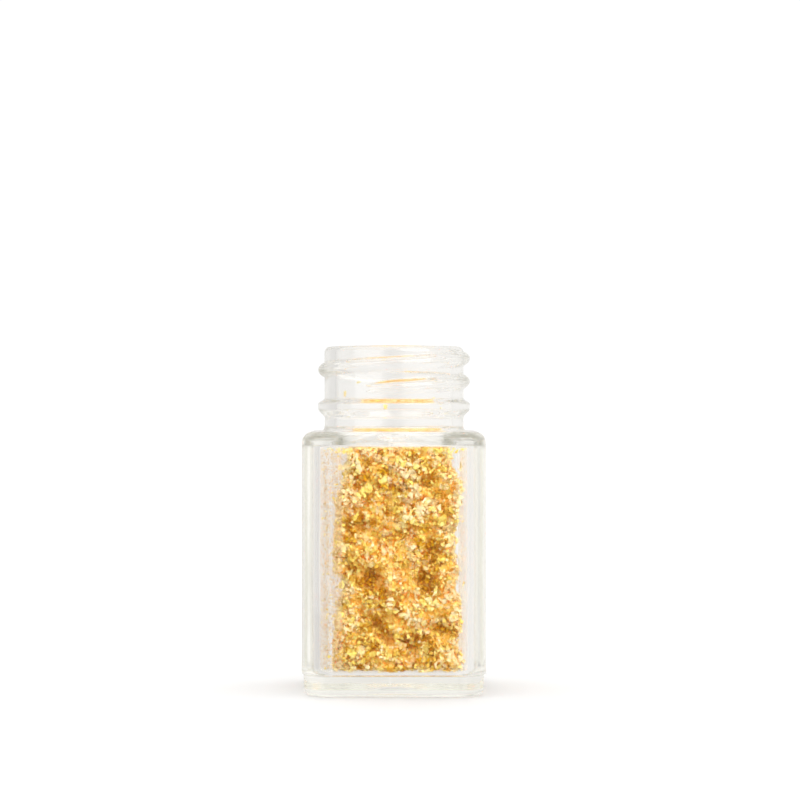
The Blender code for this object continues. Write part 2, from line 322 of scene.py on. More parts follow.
# A flake's outline: its narrowest width for its length, how far its corners stray round it, and
# how far out they may be
NARROWEST = 0.45
CORNER_STRAY = 0.3
CORNER_REACH = (0.5, 1.15)


def ripple(points, seed, length):
    """A smooth random field of about unit height, with features about length across."""
    waves = RIPPLE_WAVES
    rng = np.random.default_rng(seed)
    ways = rng.normal(size=(waves, 3))
    rates = rng.uniform(0.6, 1.5, waves) / np.linalg.norm(ways, axis=1) * math.tau / length
    ways *= rates[:, None]
    phases = rng.uniform(0, math.tau, waves)
    return np.sin(points @ ways.T + phases).sum(axis=1) / math.sqrt(waves / 2)


def ripples(points, layers, start=0.0):
    """Random fields added up from a start, each given as its height, seed and length."""
    total = np.full(len(points), start)
    for height, seed, length in layers:
        total += height * ripple(points, seed, length)
    return total


def leaf_pieces(
    rng, centres, normals, sizes, rings, corners, thick=0.03 * MM, curl=0.5, crumple=0.2
):
    """Vertices and faces of many crumpled flakes, each a closed thin skin about its centre."""
    count = len(centres)
    helper = rng.normal(size=(count, 3))
    across = np.cross(normals, helper)
    across /= np.linalg.norm(across, axis=1)[:, None]
    along = np.cross(normals, across)
    stretch = rng.uniform(NARROWEST, 1.0, count)
    turn = rng.uniform(0, math.tau, count)
    bend = rng.uniform(-curl, curl, count)
    flat = [np.zeros((count, 1, 2))]
    for ring in range(1, rings + 1):
        steps = (np.arange(corners) + 0.5 * ring) * math.tau / corners
        strays = rng.uniform(-CORNER_STRAY, CORNER_STRAY, (count, corners))
        steps = steps + strays + turn[:, None]
        reach = ring / rings * rng.uniform(*CORNER_REACH, (count, corners))
        squeezed = np.sin(steps) * reach * stretch[:, None]
        flat.append(np.stack([np.cos(steps) * reach, squeezed], axis=2))
    flat = np.concatenate(flat, axis=1)
    lift = bend[:, None] * (flat[:, :, 0] ** 2 - 0.3) + crumple * rng.normal(size=flat.shape[:2])
    spread = flat * sizes[:, None, None]
    middle = centres[:, None, :] + spread[:, :, :1] * across[:, None, :]
    middle = middle + spread[:, :, 1:] * along[:, None, :]
    middle = middle + (lift * sizes[:, None])[:, :, None] * normals[:, None, :]
    half = normals[:, None, :] * thick / 2
    verts = np.concatenate([middle + half, middle - half], axis=1)
    per = 1 + rings * corners
    top = []
    for c in range(corners):
        top.append((0, 1 + c, 1 + (c + 1) % corners))
    for ring in range(1, rings):
        inner, outer = 1 + (ring - 1) * corners, 1 + ring * corners
        for c in range(corners):
            after = (c + 1) % corners
            top.append((inner + c, outer + c, inner + after))
            top.append((inner + after, outer + c, outer + after))
    rim = 1 + (rings - 1) * corners
    side = []
    for c in range(corners):
        after = (c + 1) % corners
        side.append((rim + after, rim + c, per + rim + c))
        side.append((rim + after, per + rim + c, per + rim + after))
    under = [(per + a, per + c, per + b) for a, b, c in top]
    pattern = np.array(top + side + under)
    faces = pattern[None, :, :] + (np.arange(count) * 2 * per)[:, None, None]
    return verts, faces


def leaf_object(name, verts, faces, tones, mat):
    """A mesh of flakes, each with its own tone, from 0, deep, to 1, pale."""
    count, per = verts.shape[:2]
    mesh = bpy.data.meshes.new(name)
    flat_faces = faces.reshape(-1, 3)
    mesh.vertices.add(count * per)
    mesh.vertices.foreach_set("co", verts.reshape(-1).astype(np.float32))
    mesh.loops.add(flat_faces.size)
    mesh.loops.foreach_set("vertex_index", flat_faces.reshape(-1).astype(np.int32))
    mesh.polygons.add(len(flat_faces))
    mesh.polygons.foreach_set("loop_start", np.arange(0, flat_faces.size, 3, dtype=np.int32))
    mesh.update(calc_edges=True)
    mesh.validate()
    tone = mesh.attributes.new("tone", "FLOAT", "POINT")
    tone.data.foreach_set("value", np.repeat(tones, per).astype(np.float32))
    mesh.shade_smooth()
    mesh.set_sharp_from_angle(angle=CREASE)
    mesh.materials.append(mat)
    return new_object(name, mesh)


# The charge's outline seen from the front, as (height, x) in millimetres
LEFT_EDGE = [
    (2.6, -7.8), (4.0, -8.1), (6.5, -7.9), (11.0, -7.0), (13.3, -5.9), (16.0, -7.5),
    (21.0, -7.3), (26.0, -7.0), (28.5, -6.2), (30.3, -5.5), (32.2, -5.7),
]
RIGHT_EDGE = [
    (2.6, 8.4), (4.5, 8.9), (7.0, 8.0), (9.5, 8.7), (12.5, 8.6), (14.0, 7.9), (16.0, 8.5),
    (18.8, 7.6), (22.0, 8.2), (25.5, 8.6), (28.5, 7.8), (30.5, 6.9), (32.2, 6.3),
]
# Hollows in the charge's front: x, height, radius and depth in millimetres
HOLLOWS = [
    (4.3, 27.2, 1.1, 0.9), (1.3, 26.2, 0.8, 0.5), (-4.4, 21.8, 1.3, 0.9), (1.6, 21.0, 1.3, 0.7),
    (4.9, 18.6, 1.0, 0.8), (-5.8, 17.2, 1.1, 0.8), (-3.2, 15.2, 1.6, 1.3), (5.0, 14.7, 1.2, 0.9),
    (0.6, 13.6, 1.0, 0.7), (-2.0, 9.2, 1.0, 0.9), (1.8, 6.8, 1.8, 1.0), (-0.6, 7.6, 0.8, 0.8),
    (5.6, 8.4, 1.2, 0.7), (-6.4, 11.4, 1.0, 0.8), (-4.8, 28.9, 0.9, 0.4), (5.2, 5.6, 1.0, 0.6),
]
# Lumps of the charge's surface: height in millimetres, seed, and length
LUMPS = [(0.20, SEED, 5.0 * MM), (0.26, SEED + 1, 2.4 * MM), (0.12, SEED + 2, 1.2 * MM)]
CHARGE_DEPTH = 9.25 * MM
CHARGE_BOTTOM = FLOOR_Z + 0.15 * MM
CHARGE_TOP = CEILING_Z - 0.12 * MM
CHARGE_ROUNDING = 0.4 * MM
CHARGE_FLOOR_GAP = 0.1 * MM
SLOPE_STEP = 0.15 * MM
# What is done to the front's shape and tones fades out over this on the way to the middle
FRONT_FADE = 3 * MM
# The top stands higher near the front and the back: by how much, and from which y, over what
# width, both in millimetres
LIP_RISE = 0.9 * MM
LIP_START = 6.5
LIP_SLOPE = 2

# Where flakes may reach, with the room that the charge needs to slide
CHARGE_LEFT_LIMIT = 8.15 * MM
CHARGE_RIGHT_LIMIT = 9.2 * MM
CHARGE_DEPTH_LIMIT = 9.45 * MM
CHARGE_TRAVEL = 1.4 * MM
CHARGE_GAP = 0.15 * MM
LEAF_CEILING_GAP = 0.06 * MM
LEAF_FLOOR_GAP = 0.05 * MM
PRESS = 0.22 * MM

# The shell under the charge's surface that flakes are placed in, and a box that holds all of it
SHELL = 0.9 * MM
SHELL_LOW = (-8.4 * MM, -CHARGE_DEPTH - 0.5 * MM, CHARGE_BOTTOM)
SHELL_HIGH = (9.6 * MM, CHARGE_DEPTH + 0.5 * MM, CHARGE_TOP + 0.3 * MM)
# Random places are tried this many at a time
TRIES = 60000
# Layers of flakes: name, seed, how many, middle size, spread, largest, and each one's mesh rings
# and corners. Sizes are in millimetres
FLAKE_LAYERS = [
    ("gold_leaves", SEED, 7500, 0.46, 0.28, 0.9, 2, 7),
    ("gold_scales", SEED + 3, 22000, 0.295, 0.25, 0.5, 1, 6),
]
LAYER_PARTS = 3
SMALLEST_FLAKE = 0.1
FLAKE_TILT = 0.75

# A flake's tone, from 0, deep, to 1, pale: where it starts, and what each thing adds. Random
# ripples and scatter vary it; the rest is painted shade in the hollows and deeper in the shell, and
# painted light along the sides, in columns of the front and on the top
TONE_START = 0.66
TONE_RIPPLES = [(0.28, SEED + 5, 2.0 * MM), (0.14, SEED + 8, 6 * MM)]
TONE_SCATTER = 0.16
# Painted shade: flakes in the charge's hollows are made deeper in tone
PAINTED_SHADE_HOLLOWS = 0.65
# Painted shade: flakes that lie deeper in the shell are made deeper in tone
PAINTED_SHADE_DEEP = 0.2
# Painted light: paler flakes along each edge of the outline: change, and width
PAINTED_LIGHT_LEFT = (0.35, 1.2 * MM)
PAINTED_LIGHT_RIGHT = (0.40, 1.8 * MM)
# Painted light and shade: paler and deeper columns of the charge's front: x and width in
# millimetres, and the change
PAINTED_LIGHT_AND_SHADE_COLUMNS = [(-2.4, 1.6, -0.10), (-0.3, 0.8, -0.10), (2.1, 1.0, 0.12), (4.5, 1.1, -0.08)]
# Painted light: paler flakes on the top, behind its front edge: the change, then from which z and y
# it comes in, and over what, in millimetres
PAINTED_LIGHT_TOP = 0.5
TOP_START, TOP_SLOPE = 31.0, 0.6
TOP_FRONT, TOP_FRONT_SLOPE = -9.0, 1.0

# The core is a cube's grid that is drawn in until it lies this deep under the surface
CORE_CUTS = 110
CORE_DEPTH = 0.75 * MM
CORE_MIDDLE_X = 0.5 * MM
CORE_HALF_WIDTH = 8.6 * MM
CORE_REACH = 1.15
CORE_STEPS = 13
CORE_TOP_GAP = 0.5 * MM
# In millimetres: strays of the grid, waves and scatter of the core's depth, and their limits
CORE_STRAY = 0.05
CORE_WAVES = 0.10
CORE_SCATTER = 0.07
CORE_LIMITS = (-0.3, 0.5)


def edge_at(edge, z):
    return np.interp(z / MM, [p[0] for p in edge], [p[1] for p in edge]) * MM


def floor_at(x, y):
    """The highest the floor comes under a place in the charge as the charge slides."""
    share = np.clip(np.hypot(x - np.clip(x, 0, CHARGE_TRAVEL), y) / DOME_RADIUS, 0, 1)
    return FLOOR_Z + DOME_HEIGHT * (1 + np.cos(math.pi * share)) / 2


def hollow_at(points):
    """How far the hollows take the charge's front back at each place, in millimetres."""
    x, y, z = points.T
    total = np.zeros(len(points))
    for hollow_x, hollow_z, radius, deep in HOLLOWS:
        away = (x / MM - hollow_x) ** 2 + (z / MM - hollow_z) ** 2
        total += deep * np.exp(-(away / radius**2))
    return total * smooth(-y / FRONT_FADE)


def depth_in_charge(points):
    """Depth below the charge's lumpy surface, with its edges rounded; negative outside."""
    x, y, z = points.T
    gaps = [
        x - edge_at(LEFT_EDGE, z),
        edge_at(RIGHT_EDGE, z) - x,
        y + CHARGE_DEPTH,
        CHARGE_DEPTH - y,
        z - floor_at(x, y) - CHARGE_FLOOR_GAP,
        CHARGE_TOP + LIP_RISE * smooth((np.abs(y) / MM - LIP_START) / LIP_SLOPE) - z,
    ]
    soft = CHARGE_ROUNDING
    depth = -soft * np.log(sum(np.exp(-np.clip(g, -5 * MM, 30 * MM) / soft) for g in gaps))
    return depth + (ripples(points, LUMPS) - hollow_at(points)) * MM


def slope_out(points):
    """Unit vector out of the charge, from the depth's gradient."""
    changes = []
    for step in SLOPE_STEP * np.eye(3):
        changes.append(depth_in_charge(points + step) - depth_in_charge(points - step))
    grad = np.stack(changes, axis=1)
    return -grad / np.maximum(np.linalg.norm(grad, axis=1), 1e-9)[:, None]


def press(value, limit):
    """Flattens what would pass a wall into the last bit of room before it, keeping the order."""
    over = np.maximum(value - limit + PRESS, 0.0)
    return np.where(over > 0, limit - PRESS * np.exp(-over / PRESS), value)


def past_corners(x, y):
    """How far places are past the cavity's corner centres, at the worst place of the slide."""
    middle = CAVITY_HALF - CAVITY_CORNER
    over_x = np.abs(x - np.where(x < 0, CHARGE_TRAVEL, 0)) - middle
    over_y = np.abs(y) - middle
    return over_x, over_y, np.hypot(np.maximum(over_x, 0), np.maximum(over_y, 0))


def keep_in_bottle(verts):
    """Holds places off the glass, wherever the charge has slid to."""
    x, y, z = verts[..., 0], verts[..., 1], verts[..., 2]
    x[:] = press(x, CHARGE_RIGHT_LIMIT)
    x[:] = -press(-x, CHARGE_LEFT_LIMIT)
    y[:] = press(y, CHARGE_DEPTH_LIMIT)
    y[:] = -press(-y, CHARGE_DEPTH_LIMIT)
    turn = CAVITY_CORNER - CHARGE_GAP
    over_x, over_y, reach = past_corners(x, y)
    outside = (over_x > 0) & (over_y > 0) & (reach > turn)
    pull = np.where(outside, 1 - turn / np.maximum(reach, turn), 0.0)
    x -= np.sign(x) * pull * over_x
    y -= np.sign(y) * pull * over_y
    wall = turn - past_corners(x, y)[2]
    into = np.clip(CAVITY_EDGE - wall, 0, CAVITY_EDGE)
    rise = CAVITY_EDGE - np.sqrt(CAVITY_EDGE**2 - into**2)
    z[:] = press(z, CEILING_Z - LEAF_CEILING_GAP)
    z[:] = -press(-z, -floor_at(x, y) - rise - LEAF_FLOOR_GAP)
    return verts


def shell_places(rng, count):
    """Places spread evenly through the shell under the charge's surface."""
    chosen = np.empty((0, 3))
    while len(chosen) < count:
        tries = rng.uniform(SHELL_LOW, SHELL_HIGH, (TRIES, 3))
        depth = depth_in_charge(tries)
        chosen = np.concatenate([chosen, tries[(depth > 0) & (depth < SHELL)]])
    return chosen[:count]


def flake_tones(rng, places):
    """How pale each flake is, from 0 to 1: random, with painted shade and painted light laid in by
    place.
    """
    x, y, z = places.T
    tones = ripples(places, TONE_RIPPLES, TONE_START)
    # Random scatter, and painted shade that makes the flakes in the hollows deeper
    tones += TONE_SCATTER * rng.normal(size=len(places)) - PAINTED_SHADE_HOLLOWS * hollow_at(places)
    # Painted shade: the deeper in the shell, the deeper the tone
    tones -= PAINTED_SHADE_DEEP * (depth_in_charge(places) / SHELL - 0.5)
    # Painted light along the charge's sides
    for edge, (change, width) in ((LEFT_EDGE, PAINTED_LIGHT_LEFT), (RIGHT_EDGE, PAINTED_LIGHT_RIGHT)):
        tones += change * np.exp(-(((x - edge_at(edge, z)) / width) ** 2))
    # Painted light and shade in columns down the front
    for middle, width, change in PAINTED_LIGHT_AND_SHADE_COLUMNS:
        tones += change * np.exp(-(((x / MM - middle) / width) ** 2)) * smooth(-y / FRONT_FADE)
    # Painted light on the charge's top
    behind_front = smooth((y / MM - TOP_FRONT) / TOP_FRONT_SLOPE)
    tones += PAINTED_LIGHT_TOP * smooth((z / MM - TOP_START) / TOP_SLOPE) * behind_front
    return np.clip(tones, 0, 1)


def flake_layer(name, seed, count, size, spread, largest, rings, corners, mat):
    """One population of flakes over the charge, as objects of under 200 000 faces."""
    rng = np.random.default_rng(seed)
    places = shell_places(rng, count)
    normals = slope_out(places) + FLAKE_TILT * rng.normal(size=places.shape)
    normals /= np.linalg.norm(normals, axis=1)[:, None]
    sizes = rng.lognormal(math.log(size), spread, count)
    sizes = np.clip(sizes, SMALLEST_FLAKE, largest) * MM
    tones = flake_tones(rng, places)
    verts, faces = leaf_pieces(rng, places, normals, sizes, rings, corners)
    verts = keep_in_bottle(verts)
    order = np.argsort(places[:, 1], kind="stable")
    per = verts.shape[1]
    made = []
    for number, part in enumerate(np.array_split(order, LAYER_PARTS), start=1):
        own = faces[0][None, :, :] + (np.arange(len(part)) * per)[:, None, None]
        made.append(leaf_object(f"{name}_{number}", verts[part], own, tones[part], mat))
    return made


def charge_core(mat):
    """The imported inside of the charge, crumpled leaf too, seen in the gaps between the flakes."""
    bm = bmesh.new()
    bmesh.ops.create_cube(bm, size=2.0)
    bmesh.ops.subdivide_edges(bm, edges=bm.edges, cuts=CORE_CUTS, use_grid_fill=True)
    unit = np.array([v.co for v in bm.verts])
    middle = np.array([CORE_MIDDLE_X, 0.0, (CHARGE_BOTTOM + CHARGE_TOP) / 2])
    half = np.array([CORE_HALF_WIDTH, CHARGE_DEPTH, (CHARGE_TOP - CHARGE_BOTTOM) / 2])
    reach = unit * half * CORE_REACH
    rng = np.random.default_rng(SEED + 6)
    reach += rng.uniform(-CORE_STRAY, CORE_STRAY, reach.shape) * MM
    outline = middle + reach / CORE_REACH
    crumple = CORE_WAVES * ripple(outline, SEED + 7, 0.9 * MM)
    crumple += CORE_SCATTER * rng.normal(size=len(reach))
    goal = CORE_DEPTH + np.clip(crumple, *CORE_LIMITS) * MM
    near, far = np.full(len(reach), 0.3), np.full(len(reach), 1.0)
    for _ in range(CORE_STEPS):
        share = (near + far) / 2
        inside = depth_in_charge(middle + share[:, None] * reach) > goal
        near = np.where(inside, share, near)
        far = np.where(inside, far, share)
    places = middle + near[:, None] * reach
    places[:, 2] = np.minimum(places[:, 2], CHARGE_TOP - CORE_TOP_GAP + 0.1 * crumple * MM)
    places = keep_in_bottle(places)
    for vert, place in zip(bm.verts, places):
        vert.co = place
    mesh = bpy.data.meshes.new("packed_gold_core")
    bm.to_mesh(mesh)
    bm.free()
    mesh.shade_flat()
    mesh.materials.append(mat)
    return new_object("packed_gold_core", mesh)


# Clinging leaf: how far its middle is from the glass of the neck and of the walls, how far it may
# stand out of its own plane, its least and greatest tone, and the number its seeds count up from
NECK_LEAF_GAP = 0.16 * MM
WALL_LEAF_GAP = 0.2 * MM
LEAF_LIFT = 0.12 * MM
LEAF_TONES = (0.35, 0.95)
LEAF_SEED = 1000


def clinging_leaf(number, node, mat):
    """A crinkled flake in the place of a CAD plate, lying against the glass beside it."""
    rng = np.random.default_rng(LEAF_SEED + number)
    low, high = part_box(node)
    centre = np.array((low + high) / 2)
    extent = np.array(high - low)
    if centre[2] > SHOULDER_Z:
        outward = np.array([centre[0], centre[1], 0.0])
        centre[:2] *= (BORE_RADIUS - NECK_LEAF_GAP) / np.hypot(*centre[:2])
    else:
        thin = int(np.argmin(extent))
        outward = np.zeros(3)
        outward[thin] = math.copysign(1.0, centre[thin])
        centre[thin] = outward[thin] * (CAVITY_HALF - WALL_LEAF_GAP)
    outward /= np.linalg.norm(outward)
    size = np.array([extent.max() / 2])
    verts, faces = leaf_pieces(
        rng, centre[None, :], outward[None, :], size, rings=3, corners=9, curl=0.12, crumple=0.045
    )
    off = ((verts - centre) @ outward)[..., None] * outward
    verts = verts - off + np.clip(off, -LEAF_LIFT, LEAF_LIFT)
    tones = rng.uniform(*LEAF_TONES, 1)
    return leaf_object(f"leaf_{number:02d}", verts, faces, tones, mat)


# Where dust clings, part real dust and part painted shade: on the front and back walls it thickens
# towards the charge, and the patches beside the charge's right edge paint its shade on the glass.
# The wall, 0 in front, 1 right, 2 behind, 3 left; from where, thinly, to where, thickly, along it
# from its middle and on round its corner, and the heights, all in millimetres; and how many grains
DUST_AND_SHADE_PATCHES = [
    (0, (-11.0, -6.6), (3.6, 31.6), 4300),
    (2, (11.0, 6.0), (3.6, 31.6), 4300),
    (3, (-6.0, 6.0), (3.6, 31.6), 300),
    (0, (10.4, 8.2), (3.6, 31.6), 160),
    (2, (-10.4, -8.2), (3.6, 31.6), 160),
    (2, (-9.4, -6.4), (3.6, 31.8), 1700),
]
# Larger specks on the same walls
SPECKLED = [
    (3, (-6.5, 6.5), (3.6, 31.0), 30),
    (1, (-6.5, 6.5), (3.6, 31.0), 12),
    (0, (-10.8, -7.0), (3.6, 31.0), 110),
    (2, (10.8, 6.8), (3.6, 31.0), 110),
    (0, (10.4, 8.4), (3.6, 31.0), 18),
    (0, (-9.4, -5.4), (31.2, 31.8), 80),
    (0, (9.8, 6.4), (31.2, 31.8), 50),
]
SPECK_SEED = SEED + 10
DUST_SEED = SEED + 20
DUST_GAP = 0.12 * MM
DUST_CROWDING = 2.2
# Grains: their middle size, its spread, and the largest. Sizes are in millimetres
DUST_SIZES = (0.065, 0.3, 0.12)
SPECK_SIZES = (0.12, 0.35, 0.30)
SMALLEST_GRAIN = 0.03
GRAIN_LIFT = 0.04 * MM
GRAIN_TONES = (0.2, 1.0)


def on_walls(rng, patches):
    """Places and outward normals of grains on the inside of the glass."""
    middle = CAVITY_HALF - CAVITY_CORNER
    bend = CAVITY_CORNER - DUST_GAP
    places, normals = [], []
    for wall, span, heights, number in patches:
        along = (span[0] + (span[1] - span[0]) * rng.beta(DUST_CROWDING, 1.0, number)) * MM
        turn = np.maximum(np.abs(along) - middle, 0.0) / CAVITY_CORNER
        side, zero = np.sign(along), np.zeros(number)
        across = np.stack([side * np.sin(turn), -np.cos(turn), zero], axis=1)
        flat = side * np.minimum(np.abs(along), middle)
        base = np.stack([flat, np.full(number, -middle), zero], axis=1)
        c, s = round(math.cos(wall * math.pi / 2)), round(math.sin(wall * math.pi / 2))
        swing = np.array([[c, s, 0], [-s, c, 0], [0, 0, 1]])
        height = rng.uniform(*heights, number) * MM
        places.append((base + bend * across) @ swing + height[:, None] * np.array([0, 0, 1.0]))
        normals.append(across @ swing)
    return np.concatenate(places), np.concatenate(normals)


def grains(name, seed, patches, size, spread, largest, mat):
    """Specks of leaf flat against the glass."""
    rng = np.random.default_rng(seed)
    places, normals = on_walls(rng, patches)
    sizes = rng.lognormal(math.log(size), spread, len(places))
    sizes = np.clip(sizes, SMALLEST_GRAIN, largest) * MM
    verts, faces = leaf_pieces(
        rng, places, normals, sizes, rings=1, corners=6, thick=0.02 * MM, curl=0.1, crumple=0.06
    )
    outward = normals[:, None, :]
    off = ((verts - places[:, None, :]) * outward).sum(axis=2)[..., None] * outward
    verts = verts - off + np.clip(off, -GRAIN_LIFT, GRAIN_LIFT)
    return leaf_object(name, verts, faces, rng.uniform(*GRAIN_TONES, len(places)), mat)


# ---------------------------------------------------------------- materials

# Leaf: its deep, middle and pale colours, and its least and greatest roughness
GOLD_LEAF = ((0.74, 0.41, 0.012), (0.975, 0.845, 0.26), (0.98, 0.86, 0.57), 0.56, 0.82)
# The packed core's colours are deeper and more orange than the loose leaf's: painted shade for the
# gaps between the flakes, where the core shows
PACKED_LEAF = ((0.88, 0.52, 0.08), (1.0, 0.69, 0.18), (1.0, 0.80, 0.30), 0.5, 0.75)
# Painted shade: the dust's colours are darker than the leaf's, for the dust beside the charge
GOLD_DUST_AND_SHADE = ((0.50, 0.30, 0.12), (0.78, 0.54, 0.30), (0.95, 0.80, 0.58), 0.5, 0.75)
# How much mottling moves the tone, and the tone that has the middle colour
MOTTLING = 0.7
MIDDLE_TONE = 0.45


def new_material(name):
    mat = bpy.data.materials.new(name)
    mat.use_nodes = True
    tree = mat.node_tree
    return mat, tree, tree.nodes["Principled BSDF"], tree.nodes["Material Output"]


def noise(tree, where, scale, detail):
    """Random grey in object space."""
    node = tree.nodes.new("ShaderNodeTexNoise")
    node.inputs["Scale"].default_value = scale
    node.inputs["Detail"].default_value = detail
    tree.links.new(where.outputs["Object"], node.inputs["Vector"])
    return node.outputs["Fac"]


def roughen(tree, shader, grey, low, high):
    """Roughness from low to high over a grey from 0 to 1."""
    rough = tree.nodes.new("ShaderNodeMapRange")
    rough.inputs["To Min"].default_value = low
    rough.inputs["To Max"].default_value = high
    tree.links.new(grey, rough.inputs["Value"])
    tree.links.new(rough.outputs["Result"], shader.inputs["Roughness"])


def emboss(tree, shader, grey, strength, distance):
    """A surface that rises and falls with a grey."""
    skin = tree.nodes.new("ShaderNodeBump")
    skin.inputs["Strength"].default_value = strength
    skin.inputs["Distance"].default_value = distance
    tree.links.new(grey, skin.inputs["Height"])
    tree.links.new(skin.outputs["Normal"], shader.inputs["Normal"])


def glass_material():
    """Clear soda glass: faint green in depth, and a skin that is a little uneven."""
    mat, tree, shader, output = new_material("clear_glass")
    nodes, link = tree.nodes, tree.links.new
    shader.inputs["Base Color"].default_value = (1.0, 1.0, 1.0, 1.0)
    shader.inputs["Transmission Weight"].default_value = 1.0
    shader.inputs["IOR"].default_value = 1.5
    uneven = noise(tree, nodes.new("ShaderNodeTexCoord"), scale=260.0, detail=1.0)
    roughen(tree, shader, uneven, low=0.03, high=0.08)
    emboss(tree, shader, uneven, strength=0.06, distance=0.4 * MM)
    path = nodes.new("ShaderNodeLightPath")
    clear = nodes.new("ShaderNodeBsdfTransparent")
    clear.inputs["Color"].default_value = (0.97, 0.98, 0.97, 1.0)
    mix = nodes.new("ShaderNodeMixShader")
    link(path.outputs["Is Shadow Ray"], mix.inputs["Fac"])
    link(shader.outputs["BSDF"], mix.inputs[1])
    link(clear.outputs["BSDF"], mix.inputs[2])
    link(mix.outputs["Shader"], output.inputs["Surface"])
    depth = nodes.new("ShaderNodeVolumeAbsorption")
    depth.inputs["Color"].default_value = (0.92, 0.92, 0.86, 1.0)
    depth.inputs["Density"].default_value = 22.0
    link(depth.outputs["Volume"], output.inputs["Volume"])
    return mat


def leaf_material(name, deep, middle, pale, rough_low, rough_high, cells=False):
    """Beaten gold leaf: tone by flake, or by cell of one mass, with mottling and fine wrinkles."""
    mat, tree, shader, _ = new_material(name)
    nodes, link = tree.nodes, tree.links.new
    shader.inputs["Metallic"].default_value = 1.0
    where = nodes.new("ShaderNodeTexCoord")
    mottle = noise(tree, where, scale=2600.0, detail=3.0)
    shift = nodes.new("ShaderNodeMath")
    shift.operation = "MULTIPLY_ADD"
    shift.inputs[1].default_value = MOTTLING
    shift.inputs[2].default_value = -MOTTLING / 2
    link(mottle, shift.inputs[0])
    total = nodes.new("ShaderNodeMath")
    total.operation = "ADD"
    total.use_clamp = True
    link(shift.outputs["Value"], total.inputs[0])
    if cells:
        scales = nodes.new("ShaderNodeTexVoronoi")
        scales.inputs["Scale"].default_value = 2200.0
        link(where.outputs["Object"], scales.inputs["Vector"])
        parts = nodes.new("ShaderNodeSeparateColor")
        link(scales.outputs["Color"], parts.inputs["Color"])
        link(parts.outputs["Red"], total.inputs[1])
    else:
        tone = nodes.new("ShaderNodeAttribute")
        tone.attribute_name = "tone"
        link(tone.outputs["Fac"], total.inputs[1])
    ramp = nodes.new("ShaderNodeValToRGB")
    ramp.color_ramp.elements[0].color = (*deep, 1.0)
    ramp.color_ramp.elements[1].color = (*pale, 1.0)
    ramp.color_ramp.elements.new(MIDDLE_TONE).color = (*middle, 1.0)
    link(total.outputs["Value"], ramp.inputs["Fac"])
    link(ramp.outputs["Color"], shader.inputs["Base Color"])
    roughen(tree, shader, mottle, rough_low, rough_high)
    wrinkles = noise(tree, where, scale=4200.0, detail=2.0)
    emboss(tree, shader, wrinkles, strength=0.5, distance=0.12 * MM)
    return mat


def stage_material():
    mat, _, shader, _ = new_material("pale_stage")
    shader.inputs["Base Color"].default_value = (0.98, 0.98, 0.98, 1.0)
    shader.inputs["Roughness"].default_value = 0.9
    shader.inputs["Specular IOR Level"].default_value = 0.1
    return mat


# ---------------------------------------------------------------- studio

# The camera stands level, a little right of the bottle's axis and well above its middle
CAMERA_DISTANCE = 340 * MM
CAMERA_RIGHT = 0.79 * MM
CAMERA_HEIGHT = 37.97 * MM
CAMERA_LENS = 116.0

STAGE_RADIUS = 12.0
STAGE_DROP = 0.02 * MM

# Soft lamps: name, place, size and watts. None lights the floor, and the back one lights no glass
LAMP_AIM = Vector((0.0, 0.0, 0.02))
LAMPS = [
    ("key_softbox", (0.30, -0.40, 0.34), (0.5, 0.5), 2.45),
    ("fill_softbox", (-0.36, -0.38, 0.20), (0.5, 0.5), 1.05),
    ("top_softbox", (-0.05, 0.10, 0.55), (0.5, 0.4), 0.8),
]
BACK_LAMP = ("back_softbox", (0.12, 0.52, 0.26), (0.5, 0.5), 1.3)

# The room's brightness against one part of a ray's direction, as (part, brightness): ROOM and
# BACKDROP for rays that were never mirrored, INNER for mirrored rays that have passed three faces
# of glass or more, and MIRRORED and TWICE for the rest, mirrored once and more than once
WHITE = (1.0, 1.0, 1.0)
WARMTH = (1.0, 0.985, 0.955)
ROOM_X = [(-1.0, 0.90), (-0.25, 0.89), (0.1, 0.97), (1.0, 0.97)]
BACKDROP_REACH = 0.1
BACKDROP_X = [(-0.1, 1.0), (-0.022, 0.97), (-0.008, 0.93), (0.006, 0.97), (0.1, 1.0)]
MIRRORED_X = [(-1.0, 0.72), (-0.3, 0.83), (0.3, 0.93), (1.0, 0.90)]
MIRRORED_Y = [(-0.985, 0.1), (-0.93, 0.85), (-0.5, 1.0), (1.0, 1.0)]
TWICE_X = [(-1.0, 1.0), (-0.42, 0.96), (-0.17, 0.66), (0.02, 1.0), (0.3, 0.96), (1.0, 0.88)]
TWICE_Z = [(-1.0, 0.58), (-0.45, 0.70), (0.0, 0.98), (1.0, 1.0)]
INNER_X = [(-1.0, 0.80), (-0.1, 0.90), (0.1, 1.0), (1.0, 1.0)]
INNER_Z = [(-1.0, 0.85), (0.0, 0.98), (1.0, 1.0)]
TWICE_STRENGTH = 1.12
INNER_STRENGTH = 1.1
LIT_STRENGTH = 1.17
SEEN_STRENGTH = 1.05


def make_camera():
    data = bpy.data.cameras.new("camera")
    data.sensor_width = 36.0
    data.lens = CAMERA_LENS
    data.clip_start = 0.01
    data.clip_end = 20.0
    cam = new_object("camera", data)
    cam.location = (CAMERA_RIGHT, -CAMERA_DISTANCE, CAMERA_HEIGHT)
    cam.rotation_euler = (math.pi / 2, 0.0, 0.0)
    bpy.context.scene.camera = cam


def make_floor():
    bm = bmesh.new()
    bmesh.ops.create_circle(bm, cap_ends=True, radius=STAGE_RADIUS, segments=96)
    mesh = bpy.data.meshes.new("floor")
    bm.to_mesh(mesh)
    bm.free()
    mesh.materials.append(stage_material())
    floor = new_object("floor", mesh)
    floor.location.z = bottle_low.z - STAGE_DROP
    floor.visible_glossy = False
    floor.visible_transmission = False
    return floor


